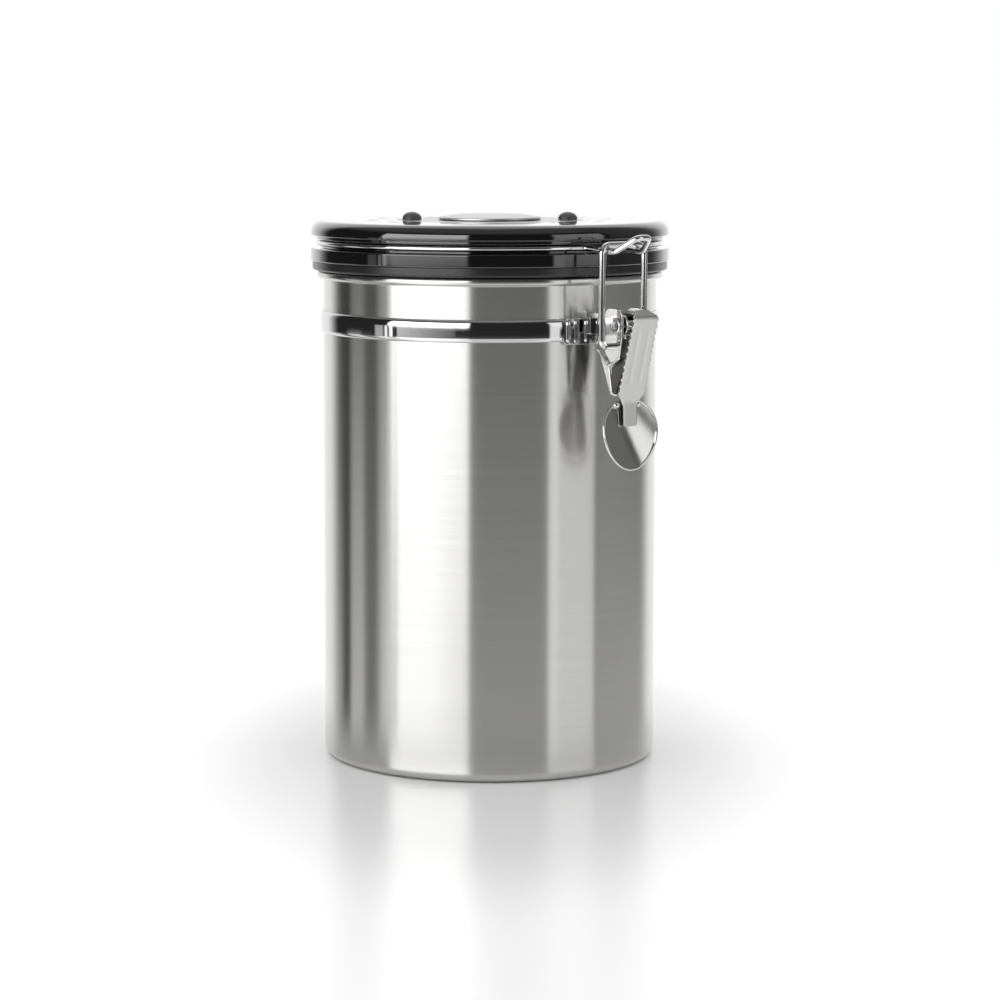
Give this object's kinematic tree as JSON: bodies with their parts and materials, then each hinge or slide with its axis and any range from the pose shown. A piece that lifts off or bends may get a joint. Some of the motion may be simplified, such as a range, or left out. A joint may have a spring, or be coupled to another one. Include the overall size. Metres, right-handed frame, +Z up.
{
  "type": "coffee canister with valve",
  "caption": "Round brushed steel coffee canister with a hinged black lid, one-way vent, date dial and over-centre wire latch.",
  "frame": {"origin": "centre of the flat base, on the table", "axes": "+Z up along the can's axis, -Y to the latch, +Y to the hinge"},
  "size_m": [0.1262, 0.1536, 0.1926],
  "materials": {
    "brushed_can": "brushed round the can",
    "polished_band": "polished",
    "pressed_chrome": "bright pressed sheet",
    "chrome_wire": "polished wire",
    "black_silicone": "soft sheen",
    "pale_silicone": "matt",
    "black_lid": "high gloss",
    "black_inner": "satin",
    "black_dial": "high gloss",
    "silver_cap": "satin, turned",
    "felt": "pressed felt"
  },
  "bodies": {
    "canister": {"canister_body": "brushed_can", "clamp_band": "polished_band", "latch_bracket": "polished_band", "lever_pivot_pin": "polished_band", "hinge_bracket": "polished_band", "band_rivets": "polished_band"},
    "lid": {"lid_shell": "black_lid", "lid_liner": "black_inner", "gasket": "black_silicone", "wire_hoop": "chrome_wire", "centre_cap": "silver_cap", "valve_body": "black_inner", "valve_cage": "black_inner", "filter_disc": "felt", "filter_grille": "black_inner"},
    "dial": {"date_dial": "black_dial"},
    "flap": {"valve_flap": "pale_silicone"},
    "lever": {"latch_lever": "pressed_chrome"},
    "bail": {"bail_wire": "chrome_wire"}
  },
  "joints": [
    {"name": "lid_hinge", "type": "hinge", "parent": "canister", "child": "lid", "pos_m": [0, 0.066, 0.1534], "axis": [-1, 0, 0], "range_deg": [0, 100]},
    {"name": "lever_pivot", "type": "hinge", "parent": "canister", "child": "lever", "pos_m": [0, -0.07495, 0.156], "axis": [-1, 0, 0], "range_deg": [0, 92]},
    {"name": "bail_pivot", "type": "hinge", "parent": "lever", "child": "bail", "pos_m": [0, -0.0723, 0.149], "axis": [-1, 0, 0], "range_deg": [-115, 0]},
    {"name": "dial_turn", "type": "hinge", "parent": "lid", "child": "dial", "pos_m": [0, 0, 0.1884], "axis": [0, 0, 1], "continuous": true},
    {"name": "flap_lift", "type": "slide", "parent": "lid", "child": "flap", "axis": [0, 0, 1], "range_m": [0, 0.0012]}
  ],
  "couplings": [
    {"joint": "lever_pivot", "follows": "lid_hinge", "ratio": 0.92},
    {"joint": "bail_pivot", "follows": "lid_hinge", "ratio": -1.15}
  ]
}
